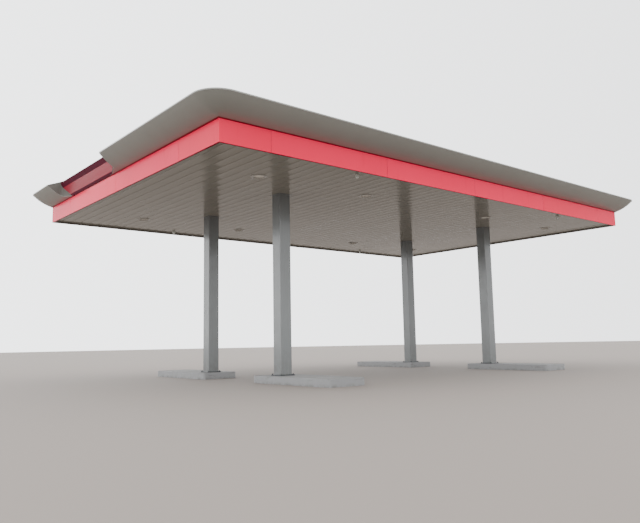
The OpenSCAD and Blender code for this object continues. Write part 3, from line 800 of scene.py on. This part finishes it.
# Roof screws: hexagonal heads on sealing washers, driven through the ribs' crests into
# each rafter.
rib_first, rib_pitch, rib_count = -5.1875, 0.25, 43
rib_ys = [rib_first + i * rib_pitch for i in range(rib_count)]
rafter_xs = [rafter_end * (i / 4 - 1) for i in range(9) if i != 4]
sealing_t = 0.0012
hexagon = turned_bar(
    "hexagon", sides=6, radius=0.0062, length=0.006, base=0.002, edge=0.0008, segments=1
)
bpy.ops.object.select_all(action="DESELECT")
bpy.ops.mesh.primitive_cone_add(
    vertices=10, radius1=0.011, radius2=0.009, depth=sealing_t, location=(0, 0, sealing_t / 2)
)
sealing = modelled("sealing")
pick(sealing, sealing.data.polygons, lambda face: face.center.z > 0.0005)
bpy.ops.object.mode_set(mode="EDIT")
bpy.ops.mesh.select_mode(type="FACE")
bpy.ops.mesh.inset(thickness=0.0015, depth=0)
bpy.ops.transform.translate(value=(0, 0, 0.0008))
bpy.ops.mesh.select_mode(type="VERT")
bpy.ops.object.mode_set(mode="OBJECT")
roof_screws = set_out(joined("roof_screws", [hexagon, sealing]), [
    (x, y, crest - abs(x) * roof_slope, 0, 0) for x in rafter_xs for y in rib_ys
])
settled(roof_screws, roof_sheet)

# Gutter straps: flat bars of coated steel with turned-down ends, hooked over the
# gutters' sides to hold them together.
gutter_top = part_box("gutters")[1].z
hook_w, hook_t, hook_down, hook_pitch = 0.03, 0.003, 0.025, 0.97
hook = flat_sheet("gutter_straps", gutter_out - gutter_in + 0.004, hook_w, (0, 0, hook_t / 2))
for end in (-1, 1):
    folded(hook, lambda at: at.x * end > 0.1, (0, 0, -hook_down))
thickened(hook, hook_t)
gutter_straps = set_out(hook, [
    (side * gutter_mid, i * hook_pitch, gutter_top, 0, 0)
    for i in range(-5, 6) for side in (-1, 1)
])
settled(gutter_straps, roof_sheet)

# Downlights: spun aluminium cans, pale and matte inside, let into the ceiling behind
# flat grey rings, with a frosted lens set back on a ledge in each.
light_can = finish("light_can", (0.84, 0.82, 0.78), 0.4)
tint(light_can, cloudy(light_can, 10, 4), 0.3, (0.74, 0.71, 0.66))
dress(light_can, "downlight_cans")
light_ring = finish("light_ring", (0.29, 0.28, 0.255), 0.2)
tint(light_ring, cloudy(light_ring, 9, 5), 0.35, (0.23, 0.22, 0.20))
dress(light_ring, "downlight_rings")
light_lens = finish("light_lens", (0.80, 0.77, 0.70), 0.25)
tint(light_lens, cloudy(light_lens, 14, 3), 0.3, (0.60, 0.55, 0.46))
shader_of(light_lens).inputs["Emission Color"].default_value = (1.0, 0.93, 0.82, 1)
shader_of(light_lens).inputs["Emission Strength"].default_value = 0.07
dress(light_lens, "downlight_lenses")

# Lens glasses: the pressed underside of each frosted lens, in concentric waves that
# spread its light, above the ring's opening.
light_shift, light_dx, light_y = 0.2, 1.89, 3.44
ring_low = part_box("downlight_rings")[0].z
light_places = [
    (x + light_shift + side * light_dx, side_y * light_y, ring_low, 0, 0)
    for x in column_xs for side in (-1, 1) for side_y in (-1, 1)
]
glass_r, glass_up, wave_w = 0.1505, 0.038, 0.0172
bpy.ops.object.select_all(action="DESELECT")
bpy.ops.mesh.primitive_circle_add(
    vertices=48, radius=glass_r, fill_type="NGON", location=(0, 0, glass_up)
)
glass = modelled("lens_glasses")
bpy.ops.object.mode_set(mode="EDIT")
bpy.ops.mesh.select_all(action="SELECT")
for wave in (-0.0045, 0.0035) * 4:
    bpy.ops.mesh.inset(thickness=wave_w, depth=0)
    bpy.ops.transform.translate(value=(0, 0, wave))
bpy.ops.object.mode_set(mode="OBJECT")
thickened(glass, 0.003)
settled(set_out(glass, light_places), light_lens, sharp=60)


# Ring beads and screws: a rolled bead round the opening and one round the rim of each
# ring, and four painted screws that hold it to the ceiling.
def pressed_bead(name, radius, half_width, height, base):
    """A round bead of thin pressed sheet that stands down from a flat base."""
    bpy.ops.object.select_all(action="DESELECT")
    bpy.ops.mesh.primitive_circle_add(
        vertices=48, radius=radius + half_width, fill_type="NGON", location=(0, 0, base)
    )
    pressed = modelled(name)
    bpy.ops.object.mode_set(mode="EDIT")
    for inwards, down in ((0.4, 0.75), (0.6, 0.25), (0.6, -0.25), (0.4, -0.75)):
        bpy.ops.mesh.inset(thickness=inwards * half_width, depth=0)
        bpy.ops.transform.translate(value=(0, 0, -down * height))
    bpy.ops.mesh.delete(type="ONLY_FACE")
    bpy.ops.object.mode_set(mode="OBJECT")
    return thickened(pressed, 0.001)


opening_bead = pressed_bead("opening_bead", 0.1495, half_width=0.0045, height=0.0055, base=0.001)
rim_bead = pressed_bead("rim_bead", 0.2120, half_width=0.0035, height=0.0045, base=0.001)
ring_beads = joined("ring_beads", [opening_bead, rim_bead])
settled(set_out(ring_beads, light_places), light_ring)
ring_screw_out = 0.182
ring_screws = set_out(pan_head("ring_screws", radius=0.006), [
    (x + ring_screw_out * math.cos(a), y + ring_screw_out * math.sin(a), z, 0, 0)
    for x, y, z, _, _ in light_places for a in (0.785, 2.356, 3.927, 5.498)
])
settled(ring_screws, light_ring)

# Edge lamps: small round lamps of white plastic with a domed cover, screwed to the
# ceiling near the long edges.
lamp_white = finish("lamp_white", (0.60, 0.62, 0.58), 0.4)
tint(lamp_white, cloudy(lamp_white, 20, 4), 0.3, (0.45, 0.45, 0.40))
dress(lamp_white, "edge_lamps")

# Lamp gaskets: rubber rings between the edge lamps and the ceiling, and a rim round
# each lamp's dome.
lamp_gasket = finish("lamp_gasket", (0.16, 0.16, 0.155), 0.55)
relief(lamp_gasket, soft(lamp_gasket, 150, 3), 0.0003)
lamp_dx, lamp_in, lamp_h = 0.24, 0.4, 0.055
lamp_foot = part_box("edge_lamps")[1].z - lamp_h
gasket = pressed_bead("gasket", 0.0530, half_width=0.004, height=0.0065, base=lamp_h + 0.001)
dome_rim = pressed_bead("rim", 0.0475, half_width=0.004, height=0.0045, base=0.0005)
lamp_rims = set_out(joined("lamp_rims", [gasket, dome_rim]), [
    (x + lamp_dx, side * (half_y - lamp_in), lamp_foot, 0, 0)
    for x in column_xs for side in (-1, 1)
])
settled(lamp_rims, lamp_gasket)
